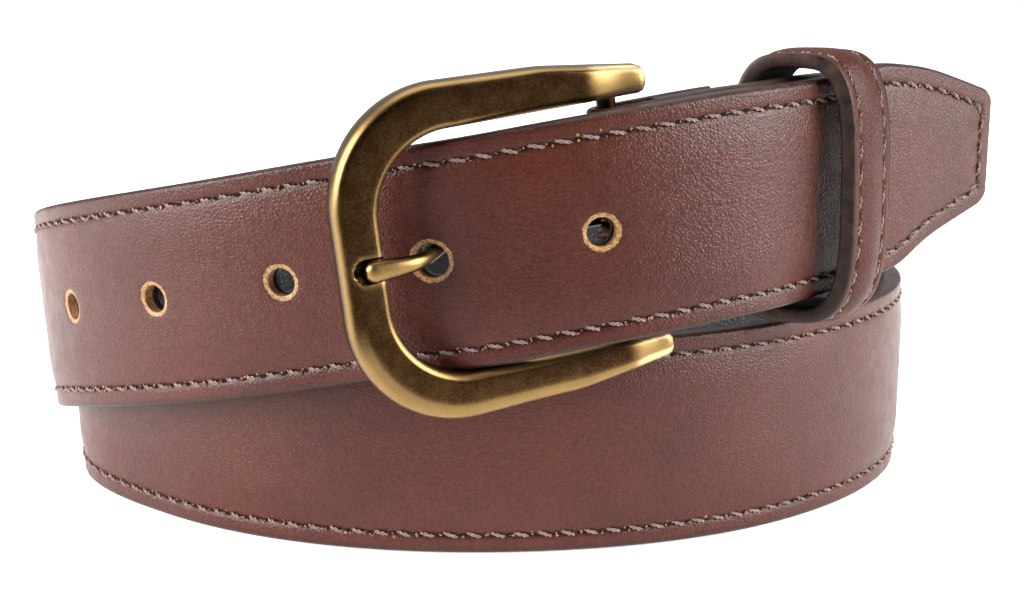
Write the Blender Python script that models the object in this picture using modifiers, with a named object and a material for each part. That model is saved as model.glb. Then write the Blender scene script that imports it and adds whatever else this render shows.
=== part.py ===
"""A buckled leather dress belt, standing on its edge in a double-wound roll.

The strap starts at the buckle bar, winds round a little more than two turns and comes back through the
buckle frame and the keeper. Angles run round the roll from the front (-Y) towards the right (+X).
Every leather layer is made flat, with its holes, and is then bent along that route.
Units are metres and +Z is up. The lower lap stands on z = 0, and the origin is below the middle of the
whole belt, a little off the roll's own axis because the buckle and the tip stand out of the roll.
"""
import math

import bmesh
import bpy
import numpy as np
from mathutils import Matrix, Vector

# ---- strap ----
STRAP_WIDTH = 0.035
COVER_THICKNESS = 0.0014
FILLER_THICKNESS = 0.0008
LINING_THICKNESS = 0.0010
GLUE_GAP = 0.00020
STRAP_THICKNESS = COVER_THICKNESS + FILLER_THICKNESS + LINING_THICKNESS + 2 * GLUE_GAP
COVER_MIDDLE = (STRAP_THICKNESS - COVER_THICKNESS) / 2
LINING_MIDDLE = -(STRAP_THICKNESS - LINING_THICKNESS) / 2
FILLER_MIDDLE = LINING_MIDDLE + (LINING_THICKNESS + FILLER_THICKNESS) / 2 + GLUE_GAP
TIP_TAPER = 0.027
TIP_HALF_WIDTH = 0.0095
TIP_CORNER = 0.0015

# ---- holes, spaced one inch apart ----
HOLE_COUNT = 5
HOLE_PITCH = 0.0254
HOLE_RADIUS = 0.0023
PRONG_HOLE_RADIUS = 0.00275
PRONG_HOLE = 3
PRONG_HOLE_ANGLE = 716.6

# ---- route of the strap: angle, radius of its middle, height of its lower edge, lean outward ----
ROLL_AXIS = Vector((-0.0039, 0.0089, 0.0))
DOUBLED_OFFSET = 0.0049
FRONT_RUN = ((0, 0.0881, 0.0338, 5.0), (15, 0.0898, 0.0379, 2.0),
             (30, 0.0884, 0.0404, 0.5), (45, 0.0842, 0.0411, 1.5))
ROUTE = [(angle, radius - DOUBLED_OFFSET, height, lean) for angle, radius, height, lean in FRONT_RUN]
ROUTE += [(60, 0.0782, 0.0402, 2.0), (90, 0.0752, 0.0374, 1.0), (135, 0.0712, 0.0270, 1.0),
          (180, 0.0700, 0.0160, 1.0), (225, 0.0703, 0.0065, 2.0), (270, 0.0737, 0.0008, 2.0),
          (290, 0.0756, 0.0, 2.0), (315, 0.0737, 0.0, 3.5), (360, 0.0737, 0.0, 4.5),
          (405, 0.0757, 0.0, 2.0), (450, 0.0792, 0.0, 1.0), (495, 0.0779, 0.0, 2.0),
          (540, 0.0766, 0.0005, 2.0), (585, 0.0768, 0.0020, 3.0), (630, 0.0791, 0.0087, 4.8),
          (660, 0.0821, 0.0170, 5.0), (690, 0.0832, 0.0252, 6.2), (705, 0.0838, 0.0296, 6.8),
          (714, 0.0860, 0.0321, 7.0)]
ROUTE += [(angle + 720, *place) for angle, *place in FRONT_RUN]
ROUTE += [(780, 0.0889, 0.0443, 2.0), (795, 0.0997, 0.0447, 2.0)]
BAR_ANGLE = 16.0
TIP_ANGLE = 789.4
STATION_STEP = 6.0
STATION_SPACING = 0.0008
ROUTE_SAMPLES = 3000
TANGENT_STEP = 1e-4

# ---- fold round the buckle bar ----
BAR_RADIUS = 0.0015
FIT_GAP = 0.0003
FOLD_RADIUS = BAR_RADIUS + FIT_GAP + COVER_THICKNESS / 2
FOLD_LENGTH = 0.019
SLOT_LENGTH = 0.0055
SLOT_HALF_WIDTH = 0.0020
CORE_START = 0.0075
FOLD_SEAMS = (0.0085, 0.0160)
FOLD_TURN_STEPS = 8

# ---- stitching ----
THREAD_RADIUS = 0.0002
THREAD_RISE = 0.0003
STITCH_INSET = 0.0030
SEAM_START = CORE_START + 0.0020

# ---- buckle ----
BUCKLE_YAW = math.radians(1.5)
FRAME_LEFT = -0.0452
FRAME_RIGHT = 0.0052
FRAME_HALF_HEIGHT = 0.0260
FRAME_CORNER = 0.0180
ARM_END_OUTER = 0.0233
ARM_END_INNER = 0.0190
ARM_END_CORNER = 0.0016
ARM_TAPER_START = -0.010
ARM_TAPER_OUTER = 0.0254
WINDOW_LEFT = -0.0382
WINDOW_HALF_HEIGHT = 0.0197
WINDOW_CORNER = 0.0122
CORNER_STEPS = 8
FRAME_THICKNESS = 0.0050
FRAME_BEVEL = 0.0011
BEVELLED_ANGLE = math.radians(50)
FLAT_ANGLE = math.radians(1)
BAR_HALF_LENGTH = 0.0214
PIN_SIDES = 20
NOTCH_RADIUS = 0.0020
NOTCH_END = -0.0432
NOTCH_SIDES = 24
NOTCH_OVERRUN = 0.0020

# ---- prong: its loop round the bar, then places (along the buckle, outward) along its shank ----
PRONG_RADIUS = 0.0011
PRONG_TIP_RADIUS = 0.0016
PRONG_REST = 0.0030
PRONG_TIP = -0.0418
PRONG_LOOP_TURN = 250.0
PRONG_LOOP_STEPS = 12
PRONG_SHANK = ((-0.0080, -0.0031), (-0.0160, -0.0040), (-0.0215, -0.0052), (-0.0248, -0.0060),
               (-0.0266, -0.0058), (-0.0277, -0.0047), (-0.0285, -0.0036), (-0.0294, -0.0023),
               (-0.0304, -0.0010), (-0.0314, 0.0004), (-0.0326, 0.0017), (-0.0343, 0.0027),
               (-0.0370, PRONG_REST))
PRONG_NOSE = ((0.0016, 1.0), (0.0005, 0.8), (0.0, 0.35))

# ---- keeper ----
KEEPER_ANGLE = 41.5
KEEPER_WIDTH = 0.012
KEEPER_INNER_DEPTH = 0.0150
KEEPER_INNER_HEIGHT = 0.0388
KEEPER_CENTRE_OUT = 0.0004
KEEPER_COVER = 0.0014
KEEPER_LINING = 0.0009
KEEPER_ROUNDNESS = 3.5
KEEPER_STEPS = 32
KEEPER_SKEW = 0.0022
KEEPER_STITCH_INSET = 0.0020
STAPLE_SIZE = (0.0007, 0.0090, 0.0010)

# ---- meshes ----
WELD_DISTANCE = 1e-6
SHARP_ANGLE = math.radians(40)

collection = None
cutter_collection = None


# ---------------------------------------------------------------- scene and materials
def clear_scene():
    for item in list(bpy.data.objects):
        bpy.data.objects.remove(item, do_unlink=True)


def new_collection(name):
    group = bpy.data.collections.new(name)
    bpy.context.scene.collection.children.link(group)
    return group


def material(name, colour, roughness, metallic=0.0):
    made = bpy.data.materials.new(name)
    made.use_nodes = True
    shader = made.node_tree.nodes["Principled BSDF"]
    shader.inputs["Base Color"].default_value = (*colour, 1.0)
    shader.inputs["Roughness"].default_value = roughness
    shader.inputs["Metallic"].default_value = metallic
    return made


def add_object(name, data, surface=None, group=None):
    made = bpy.data.objects.new(name, data)
    (group or collection).objects.link(made)
    if surface:
        made.data.materials.append(surface)
    return made


def mesh_from(item):
    """The evaluated mesh of an object, which is then removed."""
    bpy.context.view_layer.update()
    evaluated = item.evaluated_get(bpy.context.evaluated_depsgraph_get())
    made = bpy.data.meshes.new_from_object(evaluated)
    work = bmesh.new()
    work.from_mesh(made)
    bmesh.ops.remove_doubles(work, verts=work.verts, dist=WELD_DISTANCE)
    bmesh.ops.triangulate(work, faces=work.faces)
    work.to_mesh(made)
    work.free()
    bpy.data.objects.remove(item, do_unlink=True)
    return made


def cut(item, cutter):
    cutter.hide_render = True
    cutter.display_type = "WIRE"
    modifier = item.modifiers.new("cut_" + cutter.name, "BOOLEAN")
    modifier.object = cutter
    modifier.operation = "DIFFERENCE"


def box_cutter(name, centre, size):
    work = bmesh.new()
    bmesh.ops.create_cube(work, size=1.0)
    bmesh.ops.scale(work, vec=size, verts=work.verts)
    bmesh.ops.translate(work, vec=centre, verts=work.verts)
    data = bpy.data.meshes.new(name)
    work.to_mesh(data)
    work.free()
    return add_object(name, data, group=cutter_collection)


def cylinder_mesh(name, radius, length, segments):
    work = bmesh.new()
    bmesh.ops.create_cone(work, cap_ends=True, segments=segments, radius1=radius, radius2=radius,
                          depth=length)
    data = bpy.data.meshes.new(name)
    work.to_mesh(data)
    work.free()
    return data


def cylinder_cutter(name, radius, length, place, segments=PIN_SIDES):
    made = add_object(name, cylinder_mesh(name, radius, length, segments), group=cutter_collection)
    made.matrix_world = place
    return made


def tube(name, points, radius, surface, radii=None, sides=0, cyclic=False):
    """A round wire along points, with closed ends."""
    data = bpy.data.curves.new(name, "CURVE")
    data.dimensions = "3D"
    data.bevel_depth = radius
    data.bevel_resolution = sides
    data.render_resolution_u = 0
    data.use_fill_caps = not cyclic
    spline = data.splines.new("POLY")
    spline.points.add(len(points) - 1)
    for index, point in enumerate(points):
        spline.points[index].co = (*point, 1.0)
        spline.points[index].radius = radii[index] / radius if radii else 1.0
    spline.use_cyclic_u = cyclic
    return add_object(name, data, surface)


# ---------------------------------------------------------------- route
def smooth_table(column):
    """Knot values and slopes of a curve that never overshoots its knots."""
    angles = np.radians([row[0] for row in ROUTE])
    values = np.array([row[column] for row in ROUTE])
    rise = np.diff(values) / np.diff(angles)
    slopes = np.zeros(len(values))
    slopes[0], slopes[-1] = rise[0], rise[-1]
    for index in range(1, len(values) - 1):
        before, after = rise[index - 1], rise[index]
        if before * after > 0:
            slopes[index] = 2 * before * after / (before + after)
    return angles, values, slopes


def smooth(table, angle):
    angles, values, slopes = table
    index = int(np.clip(np.searchsorted(angles, angle) - 1, 0, len(angles) - 2))
    span = angles[index + 1] - angles[index]
    part = (angle - angles[index]) / span
    rest = 1.0 - part
    start = values[index] * (1 + 2 * part) * rest * rest + span * slopes[index] * part * rest * rest
    end = values[index + 1] * (3 - 2 * part) * part * part - span * slopes[index + 1] * part * part * rest
    return float(start + end)


RADIUS_TABLE = smooth_table(1)
HEIGHT_TABLE = smooth_table(2)
LEAN_TABLE = smooth_table(3)


def centre(angle):
    radius = smooth(RADIUS_TABLE, angle)
    height = smooth(HEIGHT_TABLE, angle)
    place = Vector((radius * math.sin(angle), -radius * math.cos(angle), height + STRAP_WIDTH / 2))
    return ROLL_AXIS + place


def route_frame(angle):
    """Centre of the strap with its directions along, across (up) and outward."""
    along = (centre(angle + TANGENT_STEP) - centre(angle - TANGENT_STEP)).normalized()
    outward = Vector((along.y, -along.x, 0.0)).normalized()
    across = outward.cross(along).normalized()
    across = across + math.tan(math.radians(smooth(LEAN_TABLE, angle))) * outward
    return centre(angle), along, across, outward


START = math.radians(BAR_ANGLE)
FINISH = math.radians(TIP_ANGLE)
ANGLES = np.linspace(START, FINISH, ROUTE_SAMPLES)
CENTRES = np.array([centre(angle) for angle in ANGLES])
LENGTHS = np.concatenate(([0.0], np.cumsum(np.linalg.norm(np.diff(CENTRES, axis=0), axis=1))))
STRAP_LENGTH = float(LENGTHS[-1])


def angle_at(length):
    return float(np.interp(length, LENGTHS, ANGLES))


def length_at(angle):
    return float(np.interp(angle, ANGLES, LENGTHS))


def bend(length, across_by, out_by):
    """A point of the flat strap, moved to where it lies in the roll."""
    turn = math.pi * FOLD_RADIUS
    if length >= 0:
        point, along, across, outward = route_frame(angle_at(length))
        return point + across_by * across + out_by * outward
    if length > -turn:
        point, along, across, outward = route_frame(START)
        swing = -length / FOLD_RADIUS
        reach = FOLD_RADIUS + out_by - COVER_MIDDLE
        hub = point + (COVER_MIDDLE - FOLD_RADIUS) * outward
        return hub + across_by * across + reach * (math.cos(swing) * outward - math.sin(swing) * along)
    point, along, across, outward = route_frame(angle_at(-length - turn))
    return point + across_by * across + (2 * (COVER_MIDDLE - FOLD_RADIUS) - out_by) * outward


def stations(first, last):
    """Places along the flat strap where it is creased into short straight runs."""
    marks = [first, last]
    step = math.radians(STATION_STEP)
    count = int(math.ceil((FINISH - START) / step))
    for index in range(1, count + 1):
        marks.append(length_at(round(START / step) * step + index * step))
    turn = math.pi * FOLD_RADIUS
    marks += [-turn * index / FOLD_TURN_STEPS for index in range(FOLD_TURN_STEPS + 1)]
    marks += [-turn - length_at(START + index * step) for index in range(1, count + 1)]
    marks += [CORE_START, STRAP_LENGTH - TIP_TAPER, STRAP_LENGTH - TIP_CORNER]
    marks = sorted(mark for mark in marks if first <= mark <= last)
    kept = [marks[0]]
    for mark in marks[1:]:
        if mark - kept[-1] > STATION_SPACING:
            kept.append(mark)
    kept[-1] = last
    return kept


def half_width(length, inset=0.0):
    left = STRAP_LENGTH - length
    full = STRAP_WIDTH / 2
    if left >= TIP_TAPER:
        return full - inset
    if left > TIP_CORNER:
        part = (left - TIP_CORNER) / (TIP_TAPER - TIP_CORNER)
        return TIP_HALF_WIDTH + part * (full - TIP_HALF_WIDTH) - inset
    return TIP_HALF_WIDTH - (TIP_CORNER - left) - inset


# ---------------------------------------------------------------- strap
def flat_layer(name, first, last, thickness, middle):
    """A flat layer of the strap, with its tapered tip."""
    marks = stations(first, last)
    work = bmesh.new()
    bmesh.ops.create_grid(work, x_segments=len(marks) - 1, y_segments=2, size=0.5)
    for vertex in work.verts:
        index = round((vertex.co.x + 0.5) * (len(marks) - 1))
        side = 2 * vertex.co.y
        vertex.co = (marks[index], side * half_width(marks[index]), middle)
    data = bpy.data.meshes.new(name + "_flat")
    work.to_mesh(data)
    work.free()
    made = add_object(name + "_flat", data)
    solid = made.modifiers.new("thickness", "SOLIDIFY")
    solid.thickness = thickness
    solid.offset = 0.0
    return made


def hole_lengths():
    buckled = length_at(math.radians(PRONG_HOLE_ANGLE))
    return [buckled + (index - PRONG_HOLE) * HOLE_PITCH for index in range(HOLE_COUNT)]


def punch(flat):
    """The round holes, punched through a flat layer."""
    for index, length in enumerate(hole_lengths()):
        radius = PRONG_HOLE_RADIUS if index == PRONG_HOLE else HOLE_RADIUS
        place = Matrix.Translation((length, 0.0, 0.0))
        name = "{}_hole_{}".format(flat.name, index + 1)
        cut(flat, cylinder_cutter(name, radius, 4 * STRAP_THICKNESS, place))


def bent(name, flat, surface):
    data = mesh_from(flat)
    data.name = name
    for vertex in data.vertices:
        vertex.co = bend(*vertex.co)
    return add_object(name, data, surface)


def make_cover(surface):
    first = -math.pi * FOLD_RADIUS - FOLD_LENGTH
    flat = flat_layer("strap_cover", first, STRAP_LENGTH, COVER_THICKNESS, COVER_MIDDLE)
    punch(flat)
    slot = 2 * SLOT_LENGTH + math.pi * FOLD_RADIUS
    centre_along = SLOT_LENGTH - slot / 2
    size = (slot, 2 * SLOT_HALF_WIDTH, 4 * STRAP_THICKNESS)
    cut(flat, box_cutter("prong_slot", (centre_along, 0.0, 0.0), size))
    return bent("strap_cover", flat, surface)


def make_core_layer(name, thickness, middle, surface):
    flat = flat_layer(name, CORE_START, STRAP_LENGTH, thickness, middle)
    punch(flat)
    return bent(name, flat, surface)


def seam_path(out_by):
    """The edge seam: up one side, round the tip and back down the other side."""
    end = STRAP_LENGTH - STITCH_INSET
    marks = stations(SEAM_START, end)
    upper = [bend(mark, half_width(mark, STITCH_INSET), out_by) for mark in marks]
    lower = [bend(mark, -half_width(mark, STITCH_INSET), out_by) for mark in reversed(marks)]
    return upper + lower


def make_edge_seams(surface):
    face = STRAP_THICKNESS / 2 + THREAD_RISE
    tube("edge_seam_thread_front", seam_path(face), THREAD_RADIUS, surface)
    tube("edge_seam_thread_back", seam_path(-face), THREAD_RADIUS, surface)


def make_fold_seams(surface):
    """Short rows across the strap, which hold the turned-back leather."""
    back = 2 * (COVER_MIDDLE - FOLD_RADIUS) - STRAP_THICKNESS / 2 - THREAD_RISE
    reach = STRAP_WIDTH / 2 - 2 * STITCH_INSET
    for name, length in zip(("near_buckle", "near_keeper"), FOLD_SEAMS):
        points = [bend(length, part * reach, back) for part in (-1, -0.5, 0, 0.5, 1)]
        tube("fold_seam_thread_" + name, points, THREAD_RADIUS, surface)


# ---------------------------------------------------------------- buckle
def buckle_place():
    """Axes of the buckle: X to the right along the strap, Y along the bar, Z outward."""
    point, along, across, outward = route_frame(START)
    hub = point + (COVER_MIDDLE - FOLD_RADIUS) * outward
    axis = across.normalized()
    flat_x = (along - along.dot(axis) * axis).normalized()
    flat_x = Matrix.Rotation(BUCKLE_YAW, 3, axis) @ flat_x
    out = flat_x.cross(axis)
    turn = Matrix((flat_x, axis, out)).transposed().to_4x4()
    return Matrix.Translation(hub) @ turn


def arc(centre_x, centre_y, radius, first, last, count):
    points = []
    for index in range(count + 1):
        angle = math.radians(first + (last - first) * index / count)
        points.append((centre_x + radius * math.cos(angle), centre_y + radius * math.sin(angle)))
    return points


def frame_outline():
    """One side of the horseshoe from the arm's end round to the middle of the left bar."""
    tip = [(FRAME_RIGHT, ARM_END_INNER), (FRAME_RIGHT, ARM_END_OUTER - ARM_END_CORNER)]
    tip += [(FRAME_RIGHT - ARM_END_CORNER, ARM_END_OUTER), (ARM_TAPER_START, ARM_TAPER_OUTER)]
    outer_x = FRAME_LEFT + FRAME_CORNER
    outer_y = FRAME_HALF_HEIGHT - FRAME_CORNER
    outer = arc(outer_x, outer_y, FRAME_CORNER, 90, 180, CORNER_STEPS)
    inner_x = WINDOW_LEFT + WINDOW_CORNER
    inner_y = WINDOW_HALF_HEIGHT - WINDOW_CORNER
    inner = arc(inner_x, inner_y, WINDOW_CORNER, 180, 90, CORNER_STEPS)
    return tip + outer, inner


def make_frame(place, surface):
    outer, inner = frame_outline()
    mirrored_outer = [(x, -y) for x, y in reversed(outer)]
    mirrored_inner = [(x, -y) for x, y in reversed(inner)]
    outline = outer + mirrored_outer + mirrored_inner + inner
    data = bpy.data.curves.new("frame_outline", "CURVE")
    data.dimensions = "2D"
    data.fill_mode = "BOTH"
    data.extrude = FRAME_THICKNESS / 2
    spline = data.splines.new("POLY")
    spline.points.add(len(outline) - 1)
    for index, (x, y) in enumerate(outline):
        spline.points[index].co = (x, y, 0.0, 1.0)
    spline.use_cyclic_u = True
    data = mesh_from(add_object("frame_outline", data))
    work = bmesh.new()
    work.from_mesh(data)
    bmesh.ops.dissolve_limit(work, angle_limit=FLAT_ANGLE, verts=work.verts, edges=work.edges)
    work.to_mesh(data)
    work.free()
    frame = add_object("buckle_frame", data, surface)
    frame.matrix_world = place
    rounding = frame.modifiers.new("edges", "BEVEL")
    rounding.width = FRAME_BEVEL
    rounding.segments = 2
    rounding.limit_method = "ANGLE"
    rounding.angle_limit = BEVELLED_ANGLE
    notch_length = WINDOW_LEFT - NOTCH_END + NOTCH_OVERRUN
    along_x = Matrix.Rotation(math.radians(90), 4, "Y")
    notch_place = place @ Matrix.Translation((NOTCH_END + notch_length / 2, 0.0, PRONG_REST)) @ along_x
    cut(frame, cylinder_cutter("prong_notch", NOTCH_RADIUS, notch_length, notch_place, NOTCH_SIDES))
    along_y = Matrix.Rotation(math.radians(90), 4, "X")
    bore = 2 * (BAR_HALF_LENGTH + FIT_GAP)
    cut(frame, cylinder_cutter("bar_bore", BAR_RADIUS + FIT_GAP, bore, place @ along_y))
    return frame


def make_bar(place, surface):
    data = cylinder_mesh("buckle_bar", BAR_RADIUS, 2 * BAR_HALF_LENGTH, PIN_SIDES)
    bar = add_object("buckle_bar", data, surface)
    bar.data.shade_smooth()
    bar.data.set_sharp_from_angle(angle=SHARP_ANGLE)
    bar.matrix_world = place @ Matrix.Rotation(math.radians(90), 4, "X")
    return bar


def prong_path():
    """The prong's wire: round the bar, under the strap, up through the hole and over the left bar."""
    reach = BAR_RADIUS + FIT_GAP + PRONG_RADIUS
    path = []
    for index in range(PRONG_LOOP_STEPS + 1):
        swing = math.radians(PRONG_LOOP_TURN * (1 - index / PRONG_LOOP_STEPS))
        path.append((reach * math.sin(swing), 0.0, -reach * math.cos(swing)))
    path += [(x, 0.0, z) for x, z in PRONG_SHANK]
    radii = [PRONG_RADIUS] * (len(path) - 2)
    radii += [(PRONG_RADIUS + PRONG_TIP_RADIUS) / 2, PRONG_TIP_RADIUS]
    for before_tip, part in PRONG_NOSE:
        path.append((PRONG_TIP + before_tip, 0.0, PRONG_REST))
        radii.append(part * PRONG_TIP_RADIUS)
    return path, radii


def make_prong(place, surface):
    path, radii = prong_path()
    prong = tube("prong", path, PRONG_RADIUS, surface, radii=radii, sides=2)
    prong.matrix_world = place
    return prong


# ---------------------------------------------------------------- keeper
def keeper_place():
    """Axes of the keeper: X outward, Y up across the strap, Z back along it towards the buckle."""
    angle = math.radians(KEEPER_ANGLE)
    inner, along, across, outward = route_frame(angle)
    outer = route_frame(angle + 4 * math.pi)[0]
    up = outward.cross(along).normalized()
    turn = Matrix((outward, up, -along)).transposed().to_4x4()
    return Matrix.Translation((inner + outer) / 2) @ turn


def loop_outline(grow):
    """A full, rounded loop (a superellipse), grow metres outside the keeper's opening."""
    points = []
    for index in range(KEEPER_STEPS):
        angle = 2 * math.pi * (index + 0.5) / KEEPER_STEPS
        across, up = math.cos(angle), math.sin(angle)
        x = math.copysign(abs(across) ** (2 / KEEPER_ROUNDNESS), across)
        y = math.copysign(abs(up) ** (2 / KEEPER_ROUNDNESS), up)
        x *= KEEPER_INNER_DEPTH / 2 + grow
        y *= KEEPER_INNER_HEIGHT / 2 + grow
        points.append((x + KEEPER_CENTRE_OUT, y))
    return points


def skewed(x):
    """How far a point of the keeper is moved along the strap, so that its front stands nearer the tip."""
    return -KEEPER_SKEW * x / (KEEPER_INNER_DEPTH / 2)


def make_band(name, inner, outer, width, place, surface):
    data = bpy.data.curves.new(name, "CURVE")
    data.dimensions = "2D"
    data.fill_mode = "BOTH"
    data.extrude = width / 2
    for grow in (outer, inner):
        outline = loop_outline(grow)
        spline = data.splines.new("POLY")
        spline.points.add(len(outline) - 1)
        for index, (x, y) in enumerate(outline):
            spline.points[index].co = (x, y, 0.0, 1.0)
        spline.use_cyclic_u = True
    mesh = mesh_from(add_object(name + "_outline", data))
    mesh.name = name
    for vertex in mesh.vertices:
        vertex.co.z += skewed(vertex.co.x)
    band = add_object(name, mesh, surface)
    band.matrix_world = place
    return band


def make_keeper(place, brown, black, thread, steel):
    lining_outer = KEEPER_LINING
    cover_inner = lining_outer + GLUE_GAP
    cover_outer = cover_inner + KEEPER_COVER
    make_band("keeper_cover", cover_inner, cover_outer, KEEPER_WIDTH, place, brown)
    make_band("keeper_lining", 0.0, lining_outer, KEEPER_WIDTH, place, black)
    for name, side in (("buckle_side", 1), ("tip_side", -1)):
        along = side * (KEEPER_WIDTH / 2 - KEEPER_STITCH_INSET)
        outline = loop_outline(cover_outer + THREAD_RISE)
        points = [(x, y, along + skewed(x)) for x, y in outline]
        seam = tube("keeper_thread_" + name, points, THREAD_RADIUS, thread, cyclic=True)
        seam.matrix_world = place
    thickness, height, width = STAPLE_SIZE
    back = KEEPER_CENTRE_OUT - KEEPER_INNER_DEPTH / 2 - cover_outer - FIT_GAP - thickness / 2
    work = bmesh.new()
    bmesh.ops.create_cube(work, size=1.0)
    bmesh.ops.scale(work, vec=(thickness, height, width), verts=work.verts)
    bmesh.ops.translate(work, vec=(back, 0.0, skewed(back)), verts=work.verts)
    data = bpy.data.meshes.new("keeper_staple")
    work.to_mesh(data)
    work.free()
    staple = add_object("keeper_staple", data, steel)
    staple.matrix_world = place


# ---------------------------------------------------------------- belt
def main():
    global collection, cutter_collection
    clear_scene()
    collection = new_collection("leather_belt")
    cutter_collection = new_collection("cutters")
    brown = material("brown_leather", (0.115, 0.045, 0.032), 0.45)
    tan = material("tan_leatherboard", (0.42, 0.25, 0.13), 0.85)
    black = material("black_lining_leather", (0.018, 0.018, 0.022), 0.55)
    thread = material("mauve_thread", (0.33, 0.20, 0.17), 0.65)
    brass = material("antique_brass", (0.42, 0.28, 0.11), 0.32, 1.0)
    steel = material("blackened_steel", (0.20, 0.19, 0.18), 0.40, 1.0)

    make_cover(brown)
    make_core_layer("strap_filler", FILLER_THICKNESS, FILLER_MIDDLE, tan)
    make_core_layer("strap_lining", LINING_THICKNESS, LINING_MIDDLE, black)
    make_edge_seams(thread)
    make_fold_seams(thread)
    place = buckle_place()
    make_frame(place, brass)
    make_bar(place, brass)
    make_prong(place, brass)
    make_keeper(keeper_place(), brown, black, thread, steel)


main()
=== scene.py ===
"""The looks of a buckled leather dress belt that stands on its edge in a double-wound roll.

The strap's layers, its painted edge and its stitches are made flat (along, across, outward) and are
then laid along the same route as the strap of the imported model. The buckle and the keeper are made in
their own axes. Units are metres.
"""
import math

import bpy
import numpy as np
from mathutils import Matrix, Vector


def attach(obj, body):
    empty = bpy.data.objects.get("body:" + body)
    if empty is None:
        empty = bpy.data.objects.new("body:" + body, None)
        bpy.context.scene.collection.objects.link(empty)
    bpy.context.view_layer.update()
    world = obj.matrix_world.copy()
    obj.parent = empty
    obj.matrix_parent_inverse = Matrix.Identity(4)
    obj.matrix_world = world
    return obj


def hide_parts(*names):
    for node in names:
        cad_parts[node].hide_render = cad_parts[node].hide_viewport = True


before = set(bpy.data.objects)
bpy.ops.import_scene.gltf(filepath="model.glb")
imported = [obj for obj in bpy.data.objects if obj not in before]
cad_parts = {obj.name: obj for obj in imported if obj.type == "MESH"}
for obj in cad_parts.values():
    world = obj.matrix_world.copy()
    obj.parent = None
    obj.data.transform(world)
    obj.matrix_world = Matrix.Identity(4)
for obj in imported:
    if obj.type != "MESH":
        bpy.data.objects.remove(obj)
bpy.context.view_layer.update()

# ---- strap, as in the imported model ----
STRAP_WIDTH = 0.035
HALF = STRAP_WIDTH / 2
FACE = 0.0018
COVER_BACK = 0.0004
CORE_TOP, CORE_BACK = 0.0002, -0.0006
LINING_TOP, LINING_FACE = -0.0008, -0.0018
COVER_MIDDLE = 0.0011
TIP_TAPER = 0.027
TIP_HALF_WIDTH = 0.0095
TIP_ROUND = 0.0034
TAPER_ANGLE = math.atan2(HALF - TIP_HALF_WIDTH, TIP_TAPER)
HOLE_PITCH = 0.0254
HOLE_RADII = (0.0023, 0.0023, 0.0023, 0.00275, 0.0023)
PRONG_HOLE = 3
PRONG_HOLE_ANGLE = 716.6
TWO_LAPS = 720
ROLL_AXIS = np.array([-0.0039, 0.0089, 0.0])
DOUBLED_OFFSET = 0.0049
FRONT_RUN = ((0, 0.0881, 0.0338, 5.0), (15, 0.0898, 0.0379, 2.0),
             (30, 0.0884, 0.0404, 0.5), (45, 0.0842, 0.0411, 1.5))
ROUTE = [(angle, radius - DOUBLED_OFFSET, height, lean) for angle, radius, height, lean in FRONT_RUN]
ROUTE += [(60, 0.0782, 0.0402, 2.0), (90, 0.0752, 0.0374, 1.0), (135, 0.0712, 0.0270, 1.0),
          (180, 0.0700, 0.0160, 1.0), (225, 0.0703, 0.0065, 2.0), (270, 0.0737, 0.0008, 2.0),
          (290, 0.0756, 0.0, 2.0), (315, 0.0737, 0.0, 3.5), (360, 0.0737, 0.0, 4.5),
          (405, 0.0757, 0.0, 2.0), (450, 0.0792, 0.0, 1.0), (495, 0.0779, 0.0, 2.0),
          (540, 0.0766, 0.0005, 2.0), (585, 0.0768, 0.0020, 3.0), (630, 0.0791, 0.0087, 4.8),
          (660, 0.0821, 0.0170, 5.0), (690, 0.0832, 0.0252, 6.2), (705, 0.0838, 0.0296, 6.8),
          (714, 0.0860, 0.0321, 7.0)]
ROUTE += [(angle + TWO_LAPS, *place) for angle, *place in FRONT_RUN]
ROUTE += [(780, 0.0889, 0.0443, 2.0), (795, 0.0997, 0.0447, 2.0)]
ROUTE = np.array(ROUTE)
BAR_ANGLE = 16.0
TIP_ANGLE = 789.4
ANGLE_STEP = 0.1
EASING = 16.0
FOLD_RADIUS = 0.0025
FOLD_TURN = math.pi * FOLD_RADIUS
FOLD_LENGTH = 0.019
SLOT_LENGTH = 0.0055
SLOT_HALF_WIDTH = 0.0020
CORE_START = 0.0075
FOLD_SEAMS = (0.0085, 0.0160)

# ---- strap surface ----
STATION = 0.0021
CORE_STATION, LINING_STATION = 0.006, 0.003
HOLE_PATCH = 0.0040
HOLE_CELL = 0.0005
HOLE_CORE = 0.0020
EDGE_MARKS = np.array([0, 0.2, 0.45, 0.8, 1.3, 1.9, 2.4, 2.7, 3.0, 3.3, 3.6, 4.2]) * 1e-3
MIDDLE_MARKS = np.array([5.3, 7.2, 9.2, 11.2]) * 1e-3
STITCH_INSET = 0.0030
ROUND_OVER = 0.0007
ROUND_DROP = 0.00045
GROOVE_DEPTH = 0.00030
GROOVE_HALF = 0.00040
CROWN = 0.00045
CROWN_RUN = 0.0050
RIM_DROP = 0.00030
RIM_REACH = 0.00055
PAINT_PROUD = 0.00025
PAINT_ROOT = 0.00016
PAINT_LEAD = 0.0004
PAINT_TOP, PAINT_BOTTOM = 0.00152, -0.00158
PAINT_FULLNESS = 0.7
FOLD_PAINT_INSET, FOLD_PAINT_PROUD = 0.0001, 0.00022
FOLD_PAINT_HALF, FOLD_PAINT_SHIFT = 0.00062, 0.0002
TAPER_EASE = 0.0003
TAPER_BLEND = 0.002
CREASES_BEFORE_KEEPER, CREASES_FADE_IN = 0.048, 0.02
CREASES_PAST_KEEPER, CREASES_FADE_OUT = 0.006, 0.01
CREASES_ELSEWHERE = 0.35

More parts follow.
